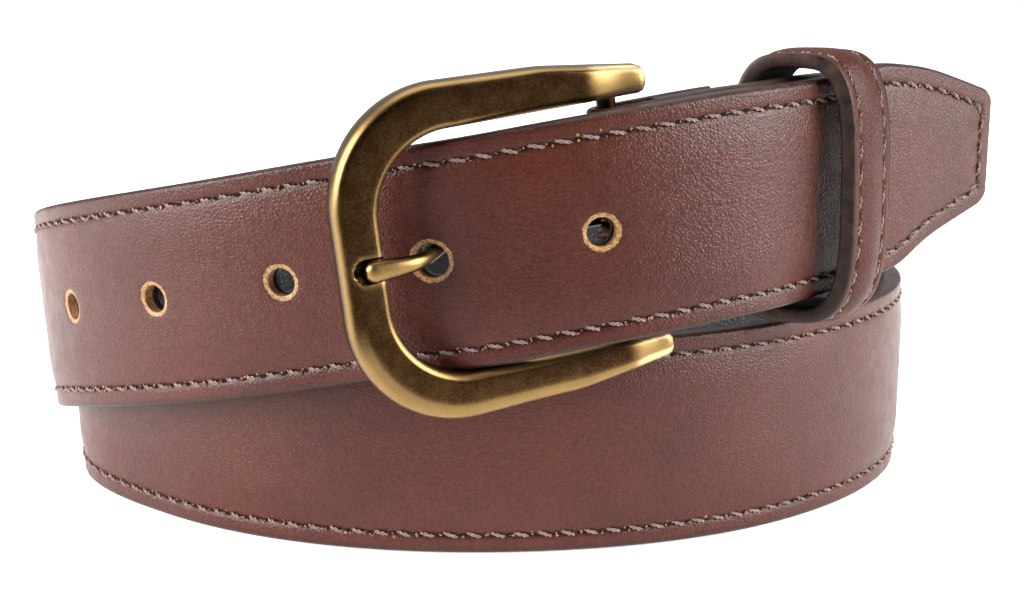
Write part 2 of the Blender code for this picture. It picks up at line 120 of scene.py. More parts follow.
# ---- stitches ----
STITCH_START, STITCH_STATION = 0.0020, 0.0004
STITCH_PITCH = 0.0038
STITCH_GAP = 0.00055
STITCH_SLANT = 0.00042
PLY_RADIUS = 0.00019
PLY_TWIST_RADIUS = 0.00016
PLY_TURNS = 1.5
PLY_SIDES = 6
PLY_STEPS = 8
SINGLE_PLY_SCALE = 1.6
THREAD_RISE = 0.00034
THREAD_SINK = 0.00030
THREAD_FULLNESS = 0.45
BACK_THREAD_RISE = 0.00026
PRICK_SIDES = 8
PRICK_RADIUS = 0.00046
PRICK_LONG, PRICK_WIDE = 1.25, 0.8
PRICK_LIFT, PRICK_DISH = 0.00015, 0.00003
TUFT_SCATTER = 0.00030
TUFT_SIZE, TUFT_SIZE_SPREAD = 0.00014, 0.00019
TUFT_LIFT = 0.00024

# ---- buckle ----
BUCKLE_YAW = math.radians(1.5)
FRAME_LEFT = -0.0452
FRAME_RIGHT = 0.0052
FRAME_HALF_HEIGHT = 0.0260
FRAME_CORNER = 0.0180
ARM_END_OUTER = 0.0233
ARM_END_INNER = 0.0189
ARM_TAPER_START = -0.010
ARM_TAPER_OUTER = 0.0254
WINDOW_LEFT = -0.0382
WINDOW_HALF_HEIGHT = 0.0188
WINDOW_CORNER = 0.0122
NOTCH_RADIUS = 0.0020
NOTCH_END = -0.0432
PRONG_REST = 0.0030
PRONG_TIP = -0.0418
PRONG_RADIUS = 0.0011
# From here to its loop the prong is darkened as painted shade.
PRONG_SHADE_FROM = -0.0225
PRONG_LOOP_TURN = 250.0
PRONG_LOOP_REACH = 0.0029
PRONG_SHANK = ((-0.0080, -0.0031), (-0.0160, -0.0040), (-0.0215, -0.0052), (-0.0248, -0.0060),
               (-0.0266, -0.0058), (-0.0277, -0.0047), (-0.0285, -0.0036), (-0.0294, -0.0023),
               (-0.0304, -0.0010), (-0.0314, 0.0004), (-0.0326, 0.0017), (-0.0343, 0.0027),
               (-0.0370, PRONG_REST))
CORNER_POINTS, ARM_POINTS, TAPER_POINTS = 40, 44, 12
BAR_FINE = 0.28
# rows of (inset, height, wear) across the frame, from its outer and from its inner outline
SECTION = (
    (0.00, -0.0013, 0.20), (0.00, 0.0002, 0.32), (0.0001, 0.0010, 0.65), (0.00035, 0.00165, 1.0),
    (0.00065, 0.00212, 0.62), (0.0010, 0.00238, 0.16), (0.0014, 0.0025, 0.08))
INNER_SECTION = (
    (0.0012, 0.0025, 0.12), (0.0009, 0.0024, 0.55), (0.0005, 0.00210, 0.90), (0.00012, 0.00165, 0.70),
    (0.0, 0.0011, 0.25), (0.0, -0.0005, 0.10), (0.0, -0.0018, 0.10), (0.0006, -0.0024, 0.15))
FACE_POINTS = 9
FACE_HEIGHT, FACE_CROWN, FACE_WEAR = 0.0025, 0.00012, 0.10
BACK_EDGE = (0.0009, -0.0024, 0.25)
ARM_CAPS = ((0.0007, 0.86), (0.0011, 0.55))
UPPER_FACET_LEAD = 0.0022
FACET_LENGTH, FACET_DROP = 0.0075, 0.35
FACET_WEAR_FROM, FACET_WEAR_RUN, FACET_WEAR = 0.0070, 0.0030, 0.9
# Painted reflection: the frame's outer bevel is made brighter on its lower part, where it faces down.
LOW_REFLECTION_FROM, LOW_REFLECTION_RUN, LOW_REFLECTION = 0.006, 0.009, 0.85
LOW_REFLECTION_SHARE, LOW_REFLECTION_FADE = 0.44, 0.16
NOTCH_LIP, NOTCH_LIP_WIDTH, NOTCH_LIP_WEAR, NOTCH_WEAR = 0.0001, 0.00035, 0.8, 0.15
MOST_WEAR = 1.6
PRONG_POINTS, PRONG_SIDES, PRONG_SQUARE = 220, 20, 0.85
PRONG_LOOP_SHARE = 0.45
PRONG_FULL = 0.001
PRONG_WIDENED, PRONG_WIDENED_RUN = 0.0006, 0.0095
PRONG_RAISED, PRONG_RAISED_RUN = 0.0003, 0.0080
PRONG_NOSE = 0.0017
# The ridge's level is a painted highlight on the prong's top; the last level is painted shade on its loop.
PRONG_WEAR, PRONG_RIDGE_HIGHLIGHT, PRONG_SHADE = 0.18, 0.9, -0.4
PRONG_TIP_WEAR, PRONG_TIP_RUN = 0.55, 0.004

# ---- keeper ----
KEEPER_ANGLE = 41.5
KEEPER_WIDTH = 0.012
KEEPER_INNER_DEPTH = 0.0150
KEEPER_INNER_HEIGHT = 0.0388
KEEPER_CENTRE_OUT = 0.0004
KEEPER_COVER_IN = 0.0011
KEEPER_COVER_OUT = 0.0025
KEEPER_LINING = 0.0009
KEEPER_LINING_FACE = ((0.0002, 0.0003), (0.001, 0.0), (0.004, 0.0001))
KEEPER_ROUNDNESS = 3.5
KEEPER_SKEW = 0.0022
KEEPER_STITCH_INSET = 0.0021
KEEPER_STITCH_PITCH = 0.0040
KEEPER_MARKS = np.array([0, 0.15, 0.4, 0.8, 1.3, 1.7, 1.95, 2.1, 2.25, 2.5, 2.9, 3.6, 4.6, 6.0]) * 1e-3
KEEPER_ROUND_OVER, KEEPER_ROUND_DROP = 0.0006, 0.0004
KEEPER_GROOVE_DEPTH, KEEPER_GROOVE_HALF = 0.00032, 0.00035
KEEPER_CROWN, KEEPER_CROWN_RUN = 0.00050, 0.0032
KEEPER_STEPS = 200
KEEPER_PAINT_INSET, KEEPER_PAINT_PROUD = 0.0002, 0.0004
KEEPER_PAINT_OUT, KEEPER_PAINT_HALF = 0.00132, 0.00112
STAPLE_HALF = 0.0046
STAPLE_POINTS, STAPLE_SIDES = 90, 12
STAPLE_THICK, STAPLE_WIDE = 0.00035, 0.00045
STAPLE_LIFT, STAPLE_SINK = 0.00042, 0.0002

# ---- studio ----
FLOOR_DIM_FROM = -0.215
FLOOR_LIT_FROM = -0.093
FLOOR_GLOW = 0.55
FLOOR_HALF = 12.0
FLOOR_LEVEL = -0.00032
AIM = (0, 0, 0.04)
SOFT_LIGHTS = (("left_box", (-1.3, -0.5, 0.55), (1.2, 1.0), 67.0),
               ("right_box", (1.3, -0.36, 0.55), (1.0, 1.0), 54.0),
               ("top_box", (0.0, 0.25, 1.4), (1.2, 1.2), 12.0))
STUDIO_LEVELS = {"From Min": -0.80, "From Max": -0.10, "To Min": 0.08, "To Max": 0.60}
SENSOR_WIDTH = 36.0
FOCAL_PIXELS, PICTURE_PIXELS = 2036.5, 1024
CAMERA_PLACE = (0.00257, -0.3831, 0.0996)
CAMERA_TILT = 10.31

chance = np.random.default_rng(7)


# ---- route ----
def eased(column):
    """A column of the route table as a smooth curve over the angles, without overshoot."""
    angles, values = np.radians(ROUTE[:, 0]), ROUTE[:, column]
    rise = np.diff(values) / np.diff(angles)
    slopes = np.zeros(len(values))
    slopes[0], slopes[-1] = rise[0], rise[-1]
    before, after = rise[:-1], rise[1:]
    same = before * after > 0
    slopes[1:-1][same] = 2 * before[same] * after[same] / (before + after)[same]
    index = np.clip(np.searchsorted(angles, TURNS) - 1, 0, len(angles) - 2)
    span = angles[index + 1] - angles[index]
    part = (TURNS - angles[index]) / span
    rest = 1 - part
    start = values[index] * (1 + 2 * part) * rest ** 2 + span * slopes[index] * part * rest ** 2
    end = values[index + 1] * (3 - 2 * part) * part ** 2 - span * slopes[index + 1] * part ** 2 * rest
    return blurred(start + end, EASING)


def blurred(values, width):
    """Gaussian smoothing that keeps the ends in place."""
    reach = int(4 * width)
    weights = np.exp(-0.5 * (np.arange(-reach, reach + 1) / width) ** 2)
    head = 2 * values[0] - values[reach:0:-1]
    tail = 2 * values[-1] - values[-2:-reach - 2:-1]
    return np.convolve(np.concatenate([head, values, tail]), weights / weights.sum(), "valid")


def unit(vectors):
    return vectors / np.linalg.norm(vectors, axis=-1, keepdims=True)


def distances(line):
    """The way along a line to each of its points."""
    return np.concatenate([[0], np.cumsum(np.linalg.norm(np.diff(line, axis=0), axis=1))])


TURNS = np.radians(np.arange(BAR_ANGLE, TIP_ANGLE + 3, ANGLE_STEP))
RADII, HEIGHTS, LEANS = (eased(column) for column in (1, 2, 3))
CENTRES = ROLL_AXIS + np.stack([RADII * np.sin(TURNS), -RADII * np.cos(TURNS), HEIGHTS + HALF], -1)
RUN = distances(CENTRES)
ALONG = unit(np.gradient(CENTRES, axis=0))
OUTWARD = unit(np.stack([ALONG[:, 1], -ALONG[:, 0], 0 * TURNS], -1))
ACROSS = unit(np.cross(OUTWARD, ALONG)) + np.tan(np.radians(LEANS))[:, None] * OUTWARD
LENGTH = float(np.interp(math.radians(TIP_ANGLE), TURNS, RUN))
HOLES = np.interp(math.radians(PRONG_HOLE_ANGLE), TURNS, RUN) + (np.arange(5) - PRONG_HOLE) * HOLE_PITCH


def read(table, run):
    return np.stack([np.interp(run, RUN, table[:, axis]) for axis in range(3)], -1)


def lay(flat):
    """Points of the flat strap (along, across, outward), moved to where they lie in the roll."""
    along_by, across_by, out_by = flat[..., 0], flat[..., 1], flat[..., 2]
    run = np.where(along_by < -FOLD_TURN, -along_by - FOLD_TURN, np.maximum(along_by, 0))
    swing = np.clip(-along_by, 0, FOLD_TURN) / FOLD_RADIUS
    reach = FOLD_RADIUS + out_by - COVER_MIDDLE
    lift = COVER_MIDDLE - FOLD_RADIUS + reach * np.cos(swing)
    back = reach * np.sin(swing)
    shift = across_by[..., None] * read(ACROSS, run) + lift[..., None] * read(OUTWARD, run)
    return read(CENTRES, run) + shift - back[..., None] * read(ALONG, run)


# ---- meshes ----
def add_object(name, data):
    made = bpy.data.objects.new(name, data)
    bpy.context.scene.collection.objects.link(made)
    return made


def add_mesh(name, points, faces, surfaces, picks=None, values=None, sharp=40):
    data = bpy.data.meshes.new(name)
    data.from_pydata(np.asarray(points).reshape(-1, 3).tolist(), [], [list(face) for face in faces])
    for surface in surfaces:
        data.materials.append(surface)
    if picks is not None:
        data.polygons.foreach_set("material_index", np.asarray(picks, dtype=np.int32))
    data.shade_smooth()
    data.set_sharp_from_angle(angle=math.radians(sharp))
    for key, numbers in (values or {}).items():
        layer = data.attributes.new(key, "FLOAT", "POINT")
        layer.data.foreach_set("value", np.asarray(numbers, dtype=np.float32).ravel())
    data.validate()
    return add_object(name, data)


def belongs(piece, body, slot, *nodes):
    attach(piece, body)
    if nodes:
        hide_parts(*nodes)


def grid(*columns):
    """Points from coordinates that broadcast to one shape."""
    return np.stack(np.broadcast_arrays(*columns), -1)


def skin(rings, sides, closed_along=False, tubes=1):
    """Quads of tubes of rings x sides points, one tube after another."""
    i, j = np.meshgrid(np.arange(rings if closed_along else rings - 1), np.arange(sides), indexing="ij")
    i2, j2 = (i + 1) % rings, (j + 1) % sides
    quads = np.stack([i * sides + j, i2 * sides + j, i2 * sides + j2, i * sides + j2], -1).reshape(-1, 4)
    return (quads[None] + (np.arange(tubes) * rings * sides)[:, None, None]).reshape(-1, 4)


def capped(rings, sides):
    """The faces of one tube that is closed at both ends."""
    first = list(range(sides))[::-1]
    last = [(rings - 1) * sides + side for side in range(sides)]
    return skin(rings, sides).tolist() + [first, last]


def circle(count):
    return 2 * math.pi * np.arange(count) / count


def joined(parts):
    """Several (points, faces) as one, with the number of faces in each."""
    points, faces, counts, start = [], [], [], 0
    for some_points, some_faces in parts:
        some_points = np.asarray(some_points).reshape(-1, 3)
        points.append(some_points)
        faces += [[start + corner for corner in face] for face in some_faces]
        counts.append(len(some_faces))
        start += len(some_points)
    return np.concatenate(points), faces, counts


# ---- flat strap ----
def half_width(along):
    """Half the strap's width, with the eased taper and the rounded corners of the tip."""
    left = np.clip(LENGTH - along, 0, None)
    slope = math.tan(TAPER_ANGLE)
    drop = (TIP_TAPER - left) * slope
    width = HALF - TAPER_EASE * np.logaddexp(0, drop / TAPER_EASE)
    centre = TIP_HALF_WIDTH + TIP_ROUND * slope - TIP_ROUND / math.cos(TAPER_ANGLE)
    corner = centre + np.sqrt(np.clip(TIP_ROUND ** 2 - (TIP_ROUND - left) ** 2, 0, None))
    return np.where(left < TIP_ROUND * (1 - math.sin(TAPER_ANGLE)), corner, width)


def edge_distance(along, across):
    left = LENGTH - along
    tapered = np.clip((TIP_TAPER - left) / TAPER_BLEND, 0, 1)
    side = (half_width(along) - np.abs(across)) * (1 - tapered * (1 - math.cos(TAPER_ANGLE)))
    return np.clip(np.minimum(side, left), 0, None)


def step(values):
    values = np.clip(values, 0, 1)
    return values * values * (3 - 2 * values)


def dressed(distance):
    """Height of the finished face above its flat level, by the distance from the edge."""
    corner = np.clip(1 - distance / ROUND_OVER, 0, 1)
    height = -ROUND_DROP * (1 - np.sqrt(1 - corner ** 2))
    height -= GROOVE_DEPTH * np.exp(-((distance - STITCH_INSET) / GROOVE_HALF) ** 2)
    return height + CROWN * step((distance - STITCH_INSET) / CROWN_RUN)


def marks_along(first, spacing):
    """Places along the strap, closer at the fold, beside the holes and at the tip."""
    coarse = np.arange(first, LENGTH - TIP_TAPER, spacing)
    fine = [hole + np.arange(-HOLE_PATCH, HOLE_PATCH + 1e-6, HOLE_CELL) for hole in HOLES]
    near = np.min(np.abs(coarse[:, None] - HOLES[None]), axis=1) < HOLE_PATCH + 0.0006
    fold = np.concatenate([np.arange(-FOLD_TURN, 0.0001, FOLD_TURN / 14),
                           [-FOLD_TURN - SLOT_LENGTH, SLOT_LENGTH]])
    tip = LENGTH - np.concatenate([EDGE_MARKS, [0.00008], np.arange(0.0052, TIP_TAPER + 0.002, 0.0015)])
    exact = np.concatenate([*fine, fold[fold > first], tip])
    far = np.min(np.abs(coarse[:, None] - exact[None]), axis=1) > 0.0004
    marks = np.concatenate([coarse[far & ~near], exact, [first]])
    marks = np.unique(np.round(marks, 7))
    return marks[np.concatenate([[True], np.diff(marks) > 5e-6])]


def flat_grid(first, spacing):
    marks = marks_along(first, spacing)
    inner = np.arange(-HOLE_PATCH, HOLE_PATCH + 1e-6, HOLE_CELL)
    inner = np.concatenate([-MIDDLE_MARKS[::-1], inner, MIDDLE_MARKS])
    limit = HALF - EDGE_MARKS[-1]
    widths = half_width(marks)[:, None]
    middle = inner[None] * (widths - EDGE_MARKS[-1]) / limit
    across = np.concatenate([-(widths - EDGE_MARKS[None]), middle, (widths - EDGE_MARKS[None])[:, ::-1]], 1)
    along = np.repeat(marks[:, None], across.shape[1], 1)
    return along, across


def pierced(along, across):
    """The grid drawn round each hole, the distance from the hole's rim and the cells that remain."""
    kept = np.ones((along.shape[0] - 1, along.shape[1] - 1), bool)
    cell_s = (along[:-1, :-1] + along[1:, 1:]) / 2
    cell_w = (across[:-1, :-1] + across[1:, 1:]) / 2
    rim = np.full(along.shape, 1.0)
    new_along, new_across = along.copy(), across.copy()
    for hole, radius in zip(HOLES, HOLE_RADII):
        u, v = along - hole, across
        size = np.maximum(np.abs(u), np.abs(v))
        inside = size < HOLE_PATCH + 1e-6
        kept &= np.maximum(np.abs(cell_s - hole), np.abs(cell_w)) > HOLE_CORE
        length = np.maximum(np.hypot(u, v), 1e-9)
        spread = radius + (size - HOLE_CORE) * (HOLE_PATCH - radius) / (HOLE_PATCH - HOLE_CORE)
        part = step((size - HOLE_CORE) / (HOLE_PATCH - HOLE_CORE))
        new_u = u * (part + (1 - part) * spread / length)
        new_v = v * (part + (1 - part) * spread / length)
        new_along[inside] = hole + new_u[inside]
        new_across[inside] = new_v[inside]
        rim = np.where(inside, np.minimum(rim, np.hypot(new_u, new_v) - radius), rim)
    slot = (cell_s > -FOLD_TURN - SLOT_LENGTH) & (cell_s < SLOT_LENGTH) & (np.abs(cell_w) < SLOT_HALF_WIDTH)
    return new_along, new_across, np.clip(rim, 0, 1), kept & ~slot


def layer_faces(kept):
    """Top and bottom quads of the kept cells, and walls wherever a kept cell ends."""
    rows, columns = kept.shape[0] + 1, kept.shape[1] + 1
    index = np.arange(rows * columns).reshape(rows, columns)
    low = rows * columns
    a, b, c, d = index[:-1, :-1], index[1:, :-1], index[1:, 1:], index[:-1, 1:]
    top = np.stack([a, b, c, d], -1)[kept]
    bottom = np.stack([d, c, b, a], -1)[kept] + low
    padded = np.pad(kept, 1)
    walls = []
    for shift, first, second in (((-1, 0), d, a), ((1, 0), b, c), ((0, -1), a, b), ((0, 1), c, d)):
        other = padded[1 + shift[0]:rows + shift[0], 1 + shift[1]:columns + shift[1]]
        open_side = kept & ~other
        p, q = first[open_side], second[open_side]
        walls.append(np.stack([q, p, p + low, q + low], -1))
    return top, bottom, np.concatenate(walls)


def creased(along):
    """How deep the fine creases are: deepest beside the keeper, shallow elsewhere."""
    keeper = np.interp(math.radians(KEEPER_ANGLE + TWO_LAPS), TURNS, RUN)
    begun = step((along - keeper + CREASES_BEFORE_KEEPER) / CREASES_FADE_IN)
    unfinished = step((keeper + CREASES_PAST_KEEPER - along) / CREASES_FADE_OUT)
    return np.maximum(begun * unfinished, CREASES_ELSEWHERE)


def strap_layer(name, first, top, bottom, surfaces, spacing, finished):
    """A layer of the strap. finished is "top" or "bottom" for the face that shows, or None."""
    along, across, rim, kept = pierced(*flat_grid(first, spacing))
    distance = edge_distance(along, across)
    shape = dressed(distance) - RIM_DROP * np.exp(-rim / RIM_REACH)
    high = top + (shape if finished == "top" else 0 * along)
    low = bottom - (0.5 * shape if finished == "bottom" else 0 * along)
    flat = np.stack([np.stack([along, across, high], -1), np.stack([along, across, low], -1)])
    upper, under, walls = layer_faces(kept)
    picks = np.concatenate([np.zeros(len(upper) + len(under)), np.ones(len(walls))])
    values = {"crease": np.tile(creased(along), (2, 1, 1)), "run": flat[..., 0], "across": flat[..., 1],
              "edge": np.tile(distance, (2, 1, 1)) * 1000, "rim": np.tile(rim, (2, 1, 1)) * 1000}
    faces = np.concatenate([upper, under, walls])
    return add_mesh(name, lay(flat), faces, surfaces, picks, values)


def outline(inset, first, spacing):
    """The strap's outline, or a line parallel to it: up one side, round the tip and down the other."""
    taper = LENGTH - np.arange(TIP_TAPER + 0.006, inset, -0.0002)
    marks = np.concatenate([np.arange(first, taper[0], spacing), taper, [LENGTH - inset - 1e-6]])
    lean = np.clip((TIP_TAPER - (LENGTH - marks)) / TAPER_BLEND, 0, 1) * (1 - math.cos(TAPER_ANGLE))
    side = half_width(marks) - inset * (1 + lean)
    upper = np.stack([marks, side], -1)
    across = np.linspace(side[-1], -side[-1], 40)[1:-1]
    end = np.stack([np.full(len(across), LENGTH - inset), across], -1)
    return np.concatenate([upper, end, upper[::-1] * [1, -1]])


def painted_edge(first, top, bottom):
    """The rounded coat of edge paint along both sides and round the tip."""
    line = outline(0.0, first, STATION)
    tangent = unit(np.gradient(line, axis=0))
    normal = np.stack([-tangent[:, 1], tangent[:, 0]], -1)
    turn = np.linspace(0, math.pi, 9)
    proud = -PAINT_ROOT + (PAINT_PROUD + PAINT_ROOT) * np.sin(turn) ** PAINT_FULLNESS
    height = (top + bottom) / 2 + (top - bottom) / 2 * np.cos(turn)
    sides = line[:, None] + normal[:, None] * proud[None, :, None]
    flat = np.concatenate([sides, np.broadcast_to(height[None, :, None], (*sides.shape[:2], 1))], -1)
    return lay(flat), capped(len(line), len(turn))


def fold_edge(side, first, last):
    """Edge paint on the single layer of leather that is folded round the bar."""
    marks = np.concatenate([np.arange(first, -FOLD_TURN, 0.0015), np.linspace(-FOLD_TURN, 0, 16),
                            np.arange(0.001, last, 0.001)])
    turn = np.linspace(0, math.pi, 7)
    proud = side * (HALF - FOLD_PAINT_INSET + FOLD_PAINT_PROUD * np.sin(turn))
    height = COVER_MIDDLE + FOLD_PAINT_HALF * np.cos(turn) - FOLD_PAINT_SHIFT
    return lay(grid(marks[:, None], proud, height)), capped(len(marks), len(turn))


# ---- stitches ----
def needle_holes(line, pitch):
    """Evenly spaced places on a line in the flat."""
    run = distances(line)
    count = int(round(run[-1] / pitch))
    places = np.linspace(0, run[-1], count + 1)
    return np.stack([np.interp(places, run, line[:, 0]), np.interp(places, run, line[:, 1])], -1)


def threads(holes, level, turned, place, rise=THREAD_RISE, plies=2, thin=1.0):
    """Twisted stitches between needle holes, sunk at both ends. turned is 1 on the face, -1 on the back."""
    start, end = holes[:-1], holes[1:]
    along = unit(end - start)
    side = np.stack([-along[:, 1], along[:, 0]], -1)
    count = len(start)
    part = np.linspace(0, 1, PLY_STEPS + 1)
    slant = STITCH_SLANT * (0.7 + 0.6 * chance.random(count))
    phase = 2 * math.pi * chance.random(count)
    begin = start + along * STITCH_GAP
    travel = (end - start) - 2 * along * STITCH_GAP
    middle = begin[:, None] + travel[:, None] * part[None, :, None]
    middle = middle + side[:, None] * (slant[:, None] * (1 - 2 * part)[None])[..., None]
    arch = np.sin(math.pi * part)
    height = rise * np.clip(arch, 0, 1) ** THREAD_FULLNESS - THREAD_SINK * (1 - arch) ** 4
    tubes = []
    for ply in range(plies):
        turn = phase[:, None] + 2 * math.pi * PLY_TURNS * part[None] + 2 * math.pi * ply / plies
        swing, scale = (PLY_TWIST_RADIUS, 1.0) if plies > 1 else (0.0, SINGLE_PLY_SCALE)
        sideways, upward = swing * np.cos(turn), swing * np.sin(turn)
        around = circle(PLY_SIDES)
        radius = thin * PLY_RADIUS * scale * np.clip(arch, 0.35, 1) ** 0.5
        off = sideways[..., None] + radius[None, :, None] * np.cos(around)
        lift = (height[None] + upward)[..., None] + radius[None, :, None] * np.sin(around)
        flat = middle[:, :, None] + side[:, None, None] * off[..., None]
        tubes.append(np.concatenate([flat, (level + turned * lift)[..., None]], -1))
    flat = np.stack(tubes, 1)
    return place(flat), skin(PLY_STEPS + 1, PLY_SIDES, tubes=count * plies)


def pricked(holes, level, turned, place, radius):
    """Painted shade for the needle holes: small dished dark discs, a little longer along the row."""
    along = unit(np.gradient(holes, axis=0))
    side = np.stack([-along[:, 1], along[:, 0]], -1)
    around = circle(PRICK_SIDES)
    size = radius * (0.8 + 0.4 * chance.random(len(holes)))
    ring = holes[:, None] + along[:, None] * (PRICK_LONG * size[:, None] * np.cos(around))[..., None]
    ring = ring + side[:, None] * (PRICK_WIDE * size[:, None] * np.sin(around))[..., None]
    points = np.concatenate([ring, holes[:, None]], 1)
    height = np.full(points.shape[:2], level + turned * PRICK_LIFT)
    height[:, -1] -= turned * PRICK_DISH
    flat = np.concatenate([points, height[..., None]], -1)
    fan = np.array([[i, (i + 1) % PRICK_SIDES, PRICK_SIDES] for i in range(PRICK_SIDES)])
    faces = (fan[None] + (np.arange(len(holes)) * (PRICK_SIDES + 1))[:, None, None]).reshape(-1, 3)
    return place(flat), faces


def tufts(holes, level, turned, place, each):
    """Tiny crumbs of raw leather that the needle has pulled up."""
    centres = np.repeat(holes, each, 0) + chance.normal(0, TUFT_SCATTER, (len(holes) * each, 2))
    size = TUFT_SIZE + TUFT_SIZE_SPREAD * chance.random(len(centres))
    axes = np.array([[1, 0, 0], [0, 1, 0], [-1, 0, 0], [0, -1, 0], [0, 0, 1], [0, 0, -1]], float)
    spread = axes[None] * size[:, None, None] * (0.6 + 0.8 * chance.random((len(centres), 6, 1)))
    base = np.concatenate([centres, np.full((len(centres), 1), level + turned * TUFT_LIFT)], -1)
    sides = [[0, 1, 4], [1, 2, 4], [2, 3, 4], [3, 0, 4], [1, 0, 5], [2, 1, 5], [3, 2, 5], [0, 3, 5]]
    faces = (np.array(sides)[None] + (np.arange(len(centres)) * 6)[:, None, None]).reshape(-1, 3)
    return place(base[:, None] + spread), faces


def seam(name, holes, level, turned, place, surfaces, crumbs=2, prick=PRICK_RADIUS, **shape):
    """A row of stitches with dark discs of painted shade at its needle holes, and with its crumbs, as one
    mesh.
    """
    parts = [threads(holes, level, turned, place, **shape), pricked(holes, level, turned, place, prick)]
    if crumbs:
        parts.append(tufts(holes, level, turned, place, crumbs))
    points, faces, counts = joined(parts)
    picks = np.repeat(np.arange(len(counts)), counts)
    return add_mesh(name, points, faces, surfaces[:len(parts)], picks, sharp=80)


# ---- materials ----
class Nodes:
    """A material built of procedural nodes."""

    def __init__(self, name, **principled):
        self.material = bpy.data.materials.new(name)
        self.material.use_nodes = True
        self.tree = self.material.node_tree
        self.shader = self.tree.nodes["Principled BSDF"]
        for key, value in principled.items():
            self.shader.inputs[key.replace("_", " ")].default_value = value
        self.place = self.tree.nodes.new("ShaderNodeTexCoord").outputs["Object"]

    def value(self, kind, output, links=(), **settings):
        made = self.tree.nodes.new("ShaderNode" + kind)
        for key, value in settings.items():
            name = key.replace("_", " ")
            if hasattr(made, key) and not name[0].isupper():
                setattr(made, key, value)
            else:
                made.inputs[name].default_value = value
        for key, source in dict(links).items():
            self.tree.links.new(source, made.inputs[key])
        return made.outputs[output]

    def noise(self, scale, detail=3.0, rough=0.5, place=None):
        return self.value("TexNoise", "Fac", {"Vector": place or self.place}, Scale=scale, Detail=detail,
                          Roughness=rough)

    def cells(self, scale, place=None):
        return self.value("TexVoronoi", "Distance", {"Vector": place or self.place},
                          feature="DISTANCE_TO_EDGE", Scale=scale)

    def stored(self, key):
        return self.value("Attribute", "Fac", attribute_name=key)

    def ramp(self, source, low, high, first=0.0, last=1.0):
        return self.value("MapRange", "Result", {"Value": source}, From_Min=low, From_Max=high,
                          To_Min=first, To_Max=last)

    def sums(self, kind, first, second):
        made = self.tree.nodes.new("ShaderNodeMath")
        made.operation = kind
        for socket, source in zip(made.inputs, (first, second)):
            if isinstance(source, (int, float)):
                socket.default_value = source
            else:
                self.tree.links.new(source, socket)
        return made.outputs[0]

    def plus(self, first, second, share):
        return self.sums("ADD", first, self.sums("MULTIPLY", second, share))

    def mix(self, part, first, second):
        made = self.tree.nodes.new("ShaderNodeMix")
        made.data_type = "RGBA"
        sockets = [socket for socket in made.inputs if socket.type == "RGBA"]
        self.tree.links.new(part, made.inputs[0])
        for socket, source in zip(sockets, (first, second)):
            if isinstance(source, tuple):
                socket.default_value = (*source, 1.0)
            else:
                self.tree.links.new(source, socket)
        return [socket for socket in made.outputs if socket.type == "RGBA"][0]

    def scaled(self, x, y, z):
        return self.value("Mapping", "Vector", {"Vector": self.place}, Scale=(x, y, z))

    def flat_place(self):
        return self.value("CombineXYZ", "Vector", {"X": self.stored("run"), "Y": self.stored("across")})

    def finish(self, colour, roughness=None, height=None, depth=0.0001, strength=1.0):
        self.tree.links.new(colour, self.shader.inputs["Base Color"])
        if roughness is not None:
            self.tree.links.new(roughness, self.shader.inputs["Roughness"])
        if height is not None:
            bump = self.value("Bump", "Normal", {"Height": height}, Strength=strength, Distance=depth)
            self.tree.links.new(bump, self.shader.inputs["Normal"])
        return self.material


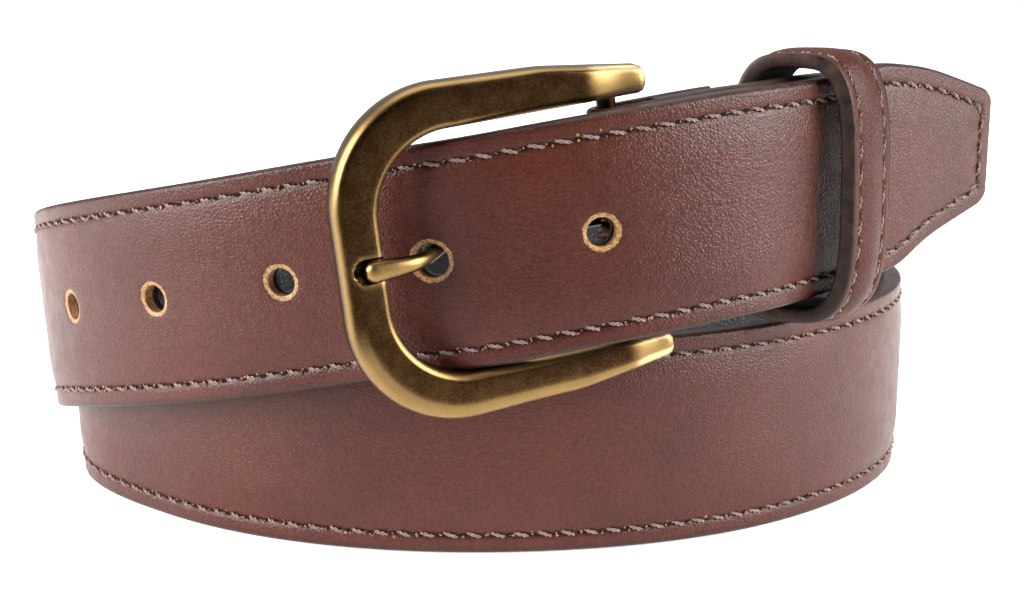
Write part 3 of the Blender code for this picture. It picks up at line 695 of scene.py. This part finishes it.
def leather(name, dark, light, specular, on_strap):
    m = Nodes(name, Specular_IOR_Level=specular)
    blotch = m.noise(55.0, 4.0, 0.6)
    fine = m.noise(1500.0, 3.0, 0.6)
    grain = m.cells(1600.0)
    pores = m.ramp(grain, 0.0, 0.28)
    tone = m.plus(m.sums("MULTIPLY", blotch, 0.42), fine, 0.58)
    colour = m.mix(m.ramp(tone, 0.36, 0.64), dark, light)
    # A darker copy of the leather's colour, used as painted shade in its recesses.
    shade_tone = tuple(0.55 * value for value in dark)
    # Painted shade in the grain: the pores at the cells' edges are darkened.
    colour = m.mix(m.ramp(grain, 0.0, 0.10, 0.55, 0.0), colour, shade_tone)
    height = m.plus(m.sums("MULTIPLY", pores, 0.55), fine, 0.45)
    if on_strap:
        flat = m.flat_place()
        bent = m.value("TexNoise", "Color", {"Vector": flat}, Scale=260.0, Detail=2.0)
        wander = m.value("VectorMath", "Vector", {0: flat, 1: m.value(
            "VectorMath", "Vector", {0: bent}, operation="SCALE", Scale=0.0022)}, operation="ADD")
        skewed = m.value("Mapping", "Vector", {"Vector": wander},
                         Rotation=(0, 0, 0.5), Scale=(1.0, 0.55, 1.0))
        cracks = m.cells(900.0, place=skewed)
        folds = m.ramp(cracks, 0.0, 0.20)
        here = m.stored("crease")
        height = m.plus(height, m.sums("MULTIPLY", folds, here), 0.35)
        # Painted shade in the creases: their lines are darkened, most beside the keeper.
        line = m.sums("MULTIPLY", m.ramp(cracks, 0.0, 0.05, 0.85, 0.0), here)
        colour = m.mix(line, colour, shade_tone)
        # Painted shade in the stitch groove: the leather is darkened along the rows of stitches.
        from_seam = m.sums("ABSOLUTE", m.sums("SUBTRACT", m.stored("edge"), 1000 * STITCH_INSET), 0.0)
        colour = m.mix(m.ramp(from_seam, 0.2, 0.8, 0.55, 0.0), colour, shade_tone)
        # Painted shade where the face rounds over: the leather is darkened towards its edge.
        colour = m.mix(m.ramp(m.stored("edge"), 0.15, 1.1, 0.7, 0.0), colour, shade_tone)
        ragged = m.plus(m.stored("rim"), m.noise(1400.0, 3.0), 0.5)
        fibres = m.ramp(m.noise(2400.0, 4.0, 0.7), 0.35, 0.65)
        bare = m.mix(fibres, (0.10, 0.048, 0.018), (0.40, 0.23, 0.095))
        colour = m.mix(m.ramp(ragged, 0.82, 0.98, 1.0, 0.0), colour, bare)
    rough = m.ramp(m.noise(300.0, 4.0, 0.65), 0.3, 0.7, 0.31, 0.43)
    return m.finish(colour, rough, height, 0.00010, 0.7)


def fibrous(name, noise, stretch, tones, colours, rough, depth, spots=None, **principled):
    """One noise gives the colour, the roughness and the bump. Spots of a darker colour lie over it."""
    m = Nodes(name, **principled)
    fibre = m.noise(*noise, m.scaled(1.0, 1.0, stretch) if stretch else None)
    colour = m.mix(m.ramp(fibre, *tones), *colours)
    if spots:
        scatter, reach, dark = spots
        colour = m.mix(m.ramp(m.noise(*scatter), *reach), colour, dark)
    return m.finish(colour, m.ramp(fibre, 0.3, 0.7, *rough), fibre, depth)


def edge_paint():
    m = Nodes("edge_paint", Specular_IOR_Level=0.18)
    wave = m.noise(420.0, 4.0, 0.6)
    colour = m.mix(m.ramp(wave, 0.35, 0.65), (0.012, 0.0065, 0.0055), (0.034, 0.0175, 0.0135))
    return m.finish(colour, m.ramp(wave, 0.3, 0.7, 0.28, 0.46), m.noise(1300.0, 3.0, 0.5), 0.00008, 0.6)


def black_lining():
    m = Nodes("black_lining_grain", Specular_IOR_Level=0.25)
    grain = m.cells(900.0)
    fine = m.noise(2400.0, 3.0, 0.6)
    colour = m.mix(m.ramp(m.noise(90.0), 0.35, 0.65), (0.006, 0.006, 0.007), (0.018, 0.016, 0.018))
    height = m.plus(m.ramp(grain, 0.0, 0.3), fine, 0.5)
    return m.finish(colour, m.ramp(m.noise(260.0), 0.3, 0.7, 0.40, 0.58), height, 0.00012, 0.8)


def brass(name, dark, light, bright):
    m = Nodes(name, Metallic=1.0)
    # The stored level is real wear on the rubbed edges and also painted light: a painted highlight on the
    # prong's ridge, a painted reflection on the frame's lower bevel and painted shade on the prong's loop.
    lit_and_worn = m.stored("wear_and_light")
    mottle = m.noise(330.0, 5.0, 0.65)
    speck = m.noise(2600.0, 4.0, 0.7)
    scratch = m.noise(900.0, 3.0, 0.6, m.scaled(1.0, 1.0, 0.12))
    level = m.plus(lit_and_worn, m.sums("SUBTRACT", mottle, 0.5), 0.35)
    level = m.plus(level, m.sums("SUBTRACT", speck, 0.5), 0.5)
    colour = m.mix(m.ramp(level, 0.05, 0.95), dark, light)
    colour = m.mix(m.ramp(level, 1.05, 1.65), colour, bright)
    rough = m.ramp(m.plus(level, scratch, 0.3), 0.1, 1.3, 0.29, 0.37)
    height = m.plus(speck, scratch, 0.5)
    return m.finish(colour, rough, height, 0.00005, 0.35)


def floor_white():
    # Painted light: the floor glows behind the belt; on the near side of the belt it is darker and does not
    # glow.
    m = Nodes("pale_floor", Specular_IOR_Level=0.0, Roughness=0.9)
    depth = m.value("SeparateXYZ", "Y", {"Vector": m.place})
    tone = m.noise(0.4, 1.0)
    colour = m.mix(m.ramp(tone, 0.3, 0.7), (0.86, 0.86, 0.86), (0.88, 0.88, 0.88))
    colour = m.mix(m.ramp(depth, FLOOR_DIM_FROM, FLOOR_LIT_FROM), (0.34, 0.34, 0.34), colour)
    m.shader.inputs["Emission Color"].default_value = (1, 1, 1, 1)
    glow = m.ramp(depth, FLOOR_DIM_FROM, FLOOR_LIT_FROM, 0.0, FLOOR_GLOW)
    m.tree.links.new(glow, m.shader.inputs["Emission Strength"])
    return m.finish(colour)


BROWN = leather("brown_leather_grain", (0.0365, 0.0070, 0.0036), (0.072, 0.0150, 0.0076), 0.23, True)
# The keeper's leather is a darker copy of the strap's: painted shade.
KEEPER_SHADED_BROWN = leather("keeper_leather_grain_shaded", (0.031, 0.0072, 0.0042), (0.060, 0.0155, 0.0086), 0.10, False)
TAN = fibrous("raw_tan_fibre", (2600.0, 5.0, 0.75), 0.4, (0.35, 0.65),
              ((0.11, 0.045, 0.018), (0.42, 0.22, 0.09)), (0.75, 0.95), 0.0002,
              ((700.0, 3.0, 0.6), (0.55, 0.75, 0.0, 0.8), (0.05, 0.022, 0.012)), Specular_IOR_Level=0.2)
PAINT = edge_paint()
BLACK = black_lining()
THREAD = fibrous("mauve_thread_fibre", (5200.0, 3.0, 0.7), 0.5, (0.3, 0.7),
                 ((0.10, 0.058, 0.052), (0.25, 0.165, 0.15)), (0.55, 0.75), 0.00006,
                 ((300.0, 2.0), (0.45, 0.70, 0.0, 0.4), (0.10, 0.055, 0.048)),
                 Specular_IOR_Level=0.3, Sheen_Weight=0.25)
# Near black: painted shade, for the discs at the needle holes and for the core's walls.
HOLE_SHADE = fibrous("needle_hole_painted_shade", (3000.0, 3.0, 0.5), None, (0.3, 0.7),
                ((0.006, 0.003, 0.003), (0.020, 0.009, 0.007)), (0.85, 0.98), 0.00005, Specular_IOR_Level=0.1)
BRASS = brass("antique_brass_rubbed", (0.034, 0.0155, 0.0062), (0.235, 0.148, 0.056), (0.62, 0.47, 0.25))
# The pin's brass is a much darker copy of the frame's: painted shade on the pin inside the fold.
SHADED_PIN_BRASS = brass("antique_brass_pin_shaded", (0.020, 0.010, 0.005), (0.08, 0.048, 0.020), (0.2, 0.13, 0.06))
STEEL = fibrous("blackened_steel", (700.0, 4.0, 0.6), None, (0.35, 0.7),
                ((0.10, 0.095, 0.09), (0.34, 0.33, 0.31)), (0.5, 0.32), 0.00005, Metallic=1.0)
SEAM_LOOK = (THREAD, HOLE_SHADE, TAN)


# ---- strap pieces ----
def make_strap():
    first = -FOLD_TURN - FOLD_LENGTH
    cover = strap_layer("strap_leather", first, FACE, COVER_BACK, (BROWN, TAN), STATION, "top")
    belongs(cover, "strap", "brown_leather", "strap_cover")
    # The core's walls, in the punched holes, the slot and along its ends and sides, take near-black painted
    # shade.
    core = strap_layer("strap_board", CORE_START, CORE_TOP, CORE_BACK, (TAN, HOLE_SHADE), CORE_STATION, None)
    belongs(core, "strap", "tan_leatherboard", "strap_filler")
    lining = strap_layer("strap_lining_leather", CORE_START, LINING_TOP, LINING_FACE, (BLACK, BLACK),
                         LINING_STATION, "bottom")
    belongs(lining, "strap", "black_lining", "strap_lining")
    coats = [painted_edge(CORE_START - PAINT_LEAD, PAINT_TOP, PAINT_BOTTOM)]
    coats += [fold_edge(side, first, CORE_START) for side in (-1, 1)]
    points, faces, _ = joined(coats)
    paint = add_mesh("strap_edge_paint", points, faces, (PAINT,), sharp=70)
    belongs(paint, "strap", "brown_leather")


def make_strap_seams():
    line = outline(STITCH_INSET, CORE_START + STITCH_START, STITCH_STATION)
    holes = needle_holes(line, STITCH_PITCH)
    front = seam("edge_stitches_front", holes, FACE - GROOVE_DEPTH, 1, lay, SEAM_LOOK)
    belongs(front, "strap", "mauve_thread", "edge_seam_thread_front")
    back = seam("edge_stitches_back", holes, LINING_FACE + 0.5 * GROOVE_DEPTH, -1, lay, SEAM_LOOK, 0,
                rise=BACK_THREAD_RISE, plies=1)
    belongs(back, "strap", "mauve_thread", "edge_seam_thread_back")
    level = 2 * (COVER_MIDDLE - FOLD_RADIUS) - FACE - CROWN
    reach = HALF - 2 * STITCH_INSET
    for place, along in zip(("near_buckle", "near_keeper"), FOLD_SEAMS):
        row = needle_holes(np.array([[along, -reach], [along, reach]]), STITCH_PITCH)
        made = seam("fold_stitches_" + place, row, level, -1, lay, SEAM_LOOK, 1)
        belongs(made, "strap", "mauve_thread", "fold_seam_thread_" + place)


# ---- buckle ----
def route_axes(angle):
    run = np.interp(math.radians(angle), TURNS, RUN)
    return tuple(Vector(read(table, np.array(run))) for table in (CENTRES, ALONG, ACROSS, OUTWARD))


def buckle_place():
    point, along, across, outward = route_axes(BAR_ANGLE)
    hub = point + (COVER_MIDDLE - FOLD_RADIUS) * outward
    axis = across.normalized()
    flat_x = (along - along.dot(axis) * axis).normalized()
    flat_x = Matrix.Rotation(BUCKLE_YAW, 3, axis) @ flat_x
    turn = Matrix((flat_x, axis, flat_x.cross(axis))).transposed().to_4x4()
    return np.array(Matrix.Translation(hub) @ turn)


def placed(points, place):
    return points @ place[:3, :3].T + place[:3, 3]


def quarter(centre_x, centre_y, radius):
    turn = np.radians(np.linspace(90, 180, CORNER_POINTS))
    return np.stack([centre_x + radius * np.cos(turn), centre_y + radius * np.sin(turn)], -1)


def evenly(line, count):
    """The line redrawn with count evenly spaced points."""
    run = distances(line)
    parts = np.linspace(0, 1, count)
    return np.stack([np.interp(parts * run[-1], run, line[:, axis]) for axis in (0, 1)], -1)


def smoothed(line, width):
    return np.stack([blurred(line[:, axis], width) for axis in (0, 1)], -1)


def squared(values, power):
    """A sine or cosine for a circle with flatter or fuller sides."""
    return np.sign(values) * np.abs(values) ** power


def frame_lines():
    """Matching points on the outer and inner outlines, from the upper arm's end to the lower one's."""
    outer = quarter(FRAME_LEFT + FRAME_CORNER, FRAME_HALF_HEIGHT - FRAME_CORNER, FRAME_CORNER)
    inner = quarter(WINDOW_LEFT + WINDOW_CORNER, WINDOW_HALF_HEIGHT - WINDOW_CORNER, WINDOW_CORNER)
    arm = np.linspace(0, 1, ARM_POINTS)[:, None]
    taper = TAPER_POINTS
    outer_arm = np.concatenate([
        (1 - arm[:taper] / arm[taper]) * [FRAME_RIGHT, ARM_END_OUTER]
        + arm[:taper] / arm[taper] * [ARM_TAPER_START, ARM_TAPER_OUTER],
        (1 - arm[:-taper]) * [ARM_TAPER_START, ARM_TAPER_OUTER] + arm[:-taper] * outer[0]])
    inner_arm = (1 - arm) * [FRAME_RIGHT, ARM_END_INNER] + arm * inner[0]
    bar = np.concatenate([np.linspace(1, BAR_FINE, 9)[1:], np.linspace(BAR_FINE, 0, 17)[1:]])[:, None]
    outer_bar = outer[-1] * [1, 0] + bar * outer[-1] * [0, 1]
    inner_bar = inner[-1] * [1, 0] + bar * inner[-1] * [0, 1]
    outer_half = np.concatenate([smoothed(outer_arm[:-1], 2.0), outer, outer_bar])
    inner_half = np.concatenate([inner_arm[:-1], inner, inner_bar])
    mirror = [1, -1]
    return (np.concatenate([outer_half, outer_half[-2::-1] * mirror]),
            np.concatenate([inner_half, inner_half[-2::-1] * mirror]))


def frame_section(outer, inner):
    """The section's places between the two outlines: share, height and wear."""
    width = np.linalg.norm(outer - inner, axis=1)
    rows = [(inset / width, height, wear_and_light) for inset, height, wear_and_light in SECTION]
    first = SECTION[-1][0] / width
    last = 1 - INNER_SECTION[0][0] / width
    for index in range(1, FACE_POINTS + 1):
        part = index / (FACE_POINTS + 1)
        crown = FACE_CROWN * math.sin(math.pi * part)
        rows.append((first + (last - first) * part, FACE_HEIGHT + crown, FACE_WEAR))
    rows += [(1 - inset / width, height, wear_and_light) for inset, height, wear_and_light in INNER_SECTION]
    inset, height, wear_and_light = BACK_EDGE
    rows.append((inset / width, height, wear_and_light))
    shares, heights, wears = zip(*rows)
    return np.stack(shares, 1), np.array(heights), np.array(wears)


def make_frame(place):
    outer, inner = frame_lines()
    shares, heights, wears = frame_section(outer, inner)
    flat = outer[:, None] * (1 - shares[..., None]) + inner[:, None] * shares[..., None]
    height = np.repeat(heights[None], len(outer), 0)
    wear_and_light = np.repeat(wears[None], len(outer), 0)
    x, y = flat[..., 0], flat[..., 1]
    lead = np.where(y > 0, UPPER_FACET_LEAD, 0.0)
    end = step((x - FRAME_RIGHT + FACET_LENGTH + lead) / FACET_LENGTH)
    height = np.where(height > 0, height * (1 - FACET_DROP * end), height)
    # Painted reflection: the outer bevel is brightened on the lower part of the frame, where it faces down.
    low = step((-y - LOW_REFLECTION_FROM) / LOW_REFLECTION_RUN) * (height > 0.0005)
    wear_and_light = np.maximum(wear_and_light, LOW_REFLECTION * low * step((LOW_REFLECTION_SHARE - shares) / LOW_REFLECTION_FADE))
    bare = step((x - FRAME_RIGHT + FACET_WEAR_FROM + lead) / FACET_WEAR_RUN)
    wear_and_light = wear_and_light + FACET_WEAR * bare * (height > 0.0006)
    beyond = np.clip(NOTCH_END + NOTCH_RADIUS - x, 0, None)
    span = np.sqrt(y ** 2 + beyond ** 2)
    notch = PRONG_REST - np.sqrt(np.clip(NOTCH_RADIUS ** 2 - span ** 2, 0, None))
    carved = (span < NOTCH_RADIUS) & (height > 0.0005) & (x < 0)
    height = np.where(carved, np.minimum(height, notch), height)
    rim = np.exp(-((span - NOTCH_RADIUS - NOTCH_LIP) / NOTCH_LIP_WIDTH) ** 2) * (height > 0.0012)
    wear_and_light = np.clip(wear_and_light + NOTCH_LIP_WEAR * rim, 0, MOST_WEAR)
    wear_and_light = np.where(carved & (span < NOTCH_RADIUS - 0.0004), NOTCH_WEAR, wear_and_light)
    points = np.concatenate([flat, height[..., None]], -1)
    middle = points.mean(axis=1, keepdims=True)
    caps = []
    for row in (0, -1):
        for reach, shrink in ARM_CAPS:
            caps.append(middle[row] + (points[row] - middle[row]) * [1, shrink, shrink] + [reach, 0, 0])
    points = np.concatenate([[caps[1]], [caps[0]], points, [caps[2]], [caps[3]]])
    wear_and_light = np.concatenate([wear_and_light[:1], wear_and_light[:1], wear_and_light, wear_and_light[-1:], wear_and_light[-1:]])
    faces = capped(*points.shape[:2])
    made = add_mesh("buckle_frame_brass", placed(points, place), faces, (BRASS,), None, {"wear_and_light": wear_and_light}, 50)
    belongs(made, "buckle", "antique_brass", "buckle_frame")


def make_prong(place):
    loop = []
    for index in range(13):
        swing = math.radians(PRONG_LOOP_TURN * (1 - index / 12))
        loop.append((PRONG_LOOP_REACH * math.sin(swing), -PRONG_LOOP_REACH * math.cos(swing)))
    tip = [(PRONG_TIP + 0.0030, PRONG_REST), (PRONG_TIP + 0.0002, PRONG_REST)]
    line = smoothed(evenly(np.array(loop + list(PRONG_SHANK) + tip), PRONG_POINTS), 3.0)
    count = len(line)
    tangent = unit(np.gradient(line, axis=0))
    up = np.stack([tangent[:, 1], -tangent[:, 0]], -1)
    left = line[:, 0] - PRONG_TIP
    shank = np.arange(count) > count * PRONG_LOOP_SHARE
    past = left - PRONG_FULL
    wide = PRONG_RADIUS + np.where(shank, PRONG_WIDENED * step(1 - past / PRONG_WIDENED_RUN), 0)
    tall = PRONG_RADIUS + np.where(shank, PRONG_RAISED * step(1 - past / PRONG_RAISED_RUN), 0)
    nose = np.where(shank, np.sqrt(np.clip(1 - np.clip(1 - left / PRONG_NOSE, 0, 1) ** 2, 0.02, 1)), 1)
    around = circle(PRONG_SIDES)
    sideways = (wide * nose)[:, None] * squared(np.cos(around), PRONG_SQUARE)
    lift = (tall * nose)[:, None] * squared(np.sin(around), PRONG_SQUARE)
    points = grid(line[:, :1] + up[:, :1] * lift, sideways, line[:, 1:] + up[:, 1:] * lift)
    # Painted highlight: the prong's top ridge is brightened, over its even wear.
    ridge = np.clip(PRONG_WEAR + PRONG_RIDGE_HIGHLIGHT * np.clip(np.sin(around), 0, 1) ** 5, 0, 1)
    wear_and_light = ridge[None] * np.ones((count, 1))
    wear_and_light = np.clip(wear_and_light + PRONG_TIP_WEAR * step(1 - left / PRONG_TIP_RUN)[:, None] * shank[:, None], 0, 1)
    # Painted shade: from its loop round the bar to partway along the shank, the prong is darkened.
    wear_and_light = np.where(line[:, :1] > PRONG_SHADE_FROM, PRONG_SHADE, wear_and_light)
    faces = capped(*points.shape[:2])
    made = add_mesh("prong_brass", placed(points, place), faces, (BRASS,), None, {"wear_and_light": wear_and_light}, 60)
    belongs(made, "prong", "antique_brass", "prong")


# ---- keeper ----
def keeper_place():
    inner, along, _, outward = route_axes(KEEPER_ANGLE)
    outer = route_axes(KEEPER_ANGLE + TWO_LAPS)[0]
    up = outward.cross(along).normalized()
    turn = Matrix((outward, up, -along)).transposed().to_4x4()
    return np.array(Matrix.Translation((inner + outer) / 2) @ turn)


def loop_shape():
    """Directions round the keeper's loop at even steps of its length, from the middle of its front."""
    turn = np.linspace(0, 2 * math.pi, 4001)
    x, y = squared(np.cos(turn), 2 / KEEPER_ROUNDNESS), squared(np.sin(turn), 2 / KEEPER_ROUNDNESS)
    middle = (KEEPER_COVER_IN + KEEPER_COVER_OUT) / 2
    line = np.stack([x * (KEEPER_INNER_DEPTH / 2 + middle), y * (KEEPER_INNER_HEIGHT / 2 + middle)], -1)
    return distances(line), x, y


LOOP_RUN, LOOP_X, LOOP_Y = loop_shape()
LOOP = LOOP_RUN[-1]


def keeper_lay(flat):
    """Points of the flat keeper (round, along the strap, outward), moved round the loop."""
    run = np.mod(flat[..., 0], LOOP)
    x = np.interp(run, LOOP_RUN, LOOP_X) * (KEEPER_INNER_DEPTH / 2 + flat[..., 2])
    y = np.interp(run, LOOP_RUN, LOOP_Y) * (KEEPER_INNER_HEIGHT / 2 + flat[..., 2])
    z = flat[..., 1] - KEEPER_SKEW * x / (KEEPER_INNER_DEPTH / 2)
    return placed(np.stack([x + KEEPER_CENTRE_OUT, y, z], -1), KEEPER)


def keeper_band(name, section, surfaces, sharp=50):
    """A band round the keeper with a closed section of (along, outward) points."""
    section = np.array(section)
    places = LOOP * np.arange(KEEPER_STEPS) / KEEPER_STEPS
    flat = grid(places[:, None], section[:, 0], section[:, 1])
    edge = (KEEPER_WIDTH / 2 - np.abs(flat[..., 1])) * 1000
    faces = skin(KEEPER_STEPS, len(section), closed_along=True)
    return add_mesh(name, keeper_lay(flat), faces, surfaces, None, {"edge": edge}, sharp)


def make_keeper():
    half = KEEPER_WIDTH / 2
    across = half - KEEPER_MARKS
    distance = half - across
    corner = np.clip(1 - distance / KEEPER_ROUND_OVER, 0, 1)
    height = KEEPER_COVER_OUT - KEEPER_ROUND_DROP * (1 - np.sqrt(1 - corner ** 2))
    height -= KEEPER_GROOVE_DEPTH * np.exp(-((distance - KEEPER_STITCH_INSET) / KEEPER_GROOVE_HALF) ** 2)
    height += KEEPER_CROWN * step((distance - KEEPER_STITCH_INSET) / KEEPER_CROWN_RUN)
    face = list(zip(across, height))
    face += [(-along, out) for along, out in zip(across[-2::-1], height[-2::-1])]
    back = [(-half, KEEPER_COVER_IN), (0.0, KEEPER_COVER_IN), (half, KEEPER_COVER_IN)]
    cover = keeper_band("keeper_leather", face + back, (KEEPER_SHADED_BROWN,))
    belongs(cover, "keeper", "brown_leather", "keeper_cover")
    inner = [(-half, KEEPER_LINING), (half, KEEPER_LINING)]
    inner += [(half - inset, out) for inset, out in KEEPER_LINING_FACE]
    inner += [(-half + inset, out) for inset, out in KEEPER_LINING_FACE[::-1]]
    lining = keeper_band("keeper_lining_leather", inner, (BLACK,))
    belongs(lining, "keeper", "black_lining", "keeper_lining")
    for name, side in (("buckle_side", 1), ("tip_side", -1)):
        turn = np.linspace(0, math.pi, 11)
        along = side * (half - KEEPER_PAINT_INSET + KEEPER_PAINT_PROUD * np.sin(turn) ** PAINT_FULLNESS)
        section = list(zip(along, KEEPER_PAINT_OUT + KEEPER_PAINT_HALF * np.cos(turn)))
        rim = keeper_band("keeper_edge_paint_" + name, section[::side], (PAINT,), 80)
        belongs(rim, "keeper", "brown_leather")
        inset = side * (half - KEEPER_STITCH_INSET)
        row = needle_holes(np.array([[0.0, inset], [LOOP, inset]]), KEEPER_STITCH_PITCH)
        made = seam("keeper_stitches_" + name, row, KEEPER_COVER_OUT - KEEPER_GROOVE_DEPTH, 1, keeper_lay,
                    SEAM_LOOK, 1, rise=0.00016, thin=0.7, prick=0.00058)
        belongs(made, "keeper", "mauve_thread", "keeper_thread_" + name)


def make_staple():
    """A bent wire staple that closes the keeper's ends at its back."""
    half = STAPLE_HALF
    line = np.array([(-half, -0.0008), (-half, 0.0002), (-half + 0.0005, 0.0006), (0.0, 0.0007),
                     (half - 0.0005, 0.0006), (half, 0.0002), (half, -0.0008)])
    line = smoothed(evenly(line, STAPLE_POINTS), 2.0)
    tangent = unit(np.gradient(line, axis=0))
    up = np.stack([-tangent[:, 1], tangent[:, 0]], -1)
    around = circle(STAPLE_SIDES)
    lift = STAPLE_THICK * np.sin(around)
    out = KEEPER_COVER_OUT + STAPLE_LIFT + line[:, 1:] - STAPLE_SINK + up[:, 1:] * lift
    flat = grid(LOOP / 2 + line[:, :1] + up[:, :1] * lift, STAPLE_WIDE * np.cos(around), out)
    faces = capped(len(line), STAPLE_SIDES)
    made = add_mesh("keeper_staple_wire", keeper_lay(flat), faces, (STEEL,), sharp=60)
    belongs(made, "keeper", "staple_steel", "keeper_staple")


# ---- studio ----
def make_floor():
    data = bpy.data.meshes.new("floor")
    corners = [(x * FLOOR_HALF, y * FLOOR_HALF, FLOOR_LEVEL) for x, y in ((-1, -1), (1, -1), (1, 1), (-1, 1))]
    data.from_pydata(corners, [], [(0, 1, 2, 3)])
    data.materials.append(floor_white())
    floor = add_object("floor", data)


def soft_light(name, position, size, power):
    data = bpy.data.lights.new(name, "AREA")
    data.shape = "RECTANGLE"
    data.size, data.size_y = size
    data.energy = power
    light = add_object(name, data)
    light.location = position
    light.rotation_euler = (Vector(AIM) - Vector(position)).to_track_quat("-Z", "Y").to_euler()


def make_world():
    """A pale studio, dimmer on the side in front of the buckle."""
    world = bpy.data.worlds.new("studio")
    bpy.context.scene.world = world
    world.use_nodes = True
    tree = world.node_tree
    back = tree.nodes["Background"]
    direction = tree.nodes.new("ShaderNodeTexCoord")
    split = tree.nodes.new("ShaderNodeSeparateXYZ")
    level = tree.nodes.new("ShaderNodeMapRange")
    level.interpolation_type = "SMOOTHSTEP"
    for key, value in STUDIO_LEVELS.items():
        level.inputs[key].default_value = value
    tree.links.new(direction.outputs["Generated"], split.inputs[0])
    tree.links.new(split.outputs["Y"], level.inputs["Value"])
    tree.links.new(level.outputs["Result"], back.inputs["Strength"])
    back.inputs["Color"].default_value = (1.0, 1.0, 1.0, 1.0)


def make_studio():
    make_floor()
    make_world()
    for light in SOFT_LIGHTS:
        soft_light(*light)
    bpy.context.scene.view_settings.view_transform = "Standard"


def make_camera():
    data = bpy.data.cameras.new("camera")
    data.sensor_width = SENSOR_WIDTH
    data.lens = FOCAL_PIXELS / PICTURE_PIXELS * data.sensor_width
    data.clip_start = 0.01
    camera = add_object("camera", data)
    camera.location = CAMERA_PLACE
    camera.rotation_euler = (math.radians(90 - CAMERA_TILT), 0.0, 0.0)
    bpy.context.scene.camera = camera


BUCKLE = buckle_place()
KEEPER = keeper_place()
make_strap()
make_strap_seams()
make_frame(BUCKLE)
make_prong(BUCKLE)
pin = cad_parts["buckle_bar"]
# The pin takes the darker brass, as painted shade.
pin.material_slots[0].material = SHADED_PIN_BRASS
make_keeper()
make_staple()
make_studio()
make_camera()
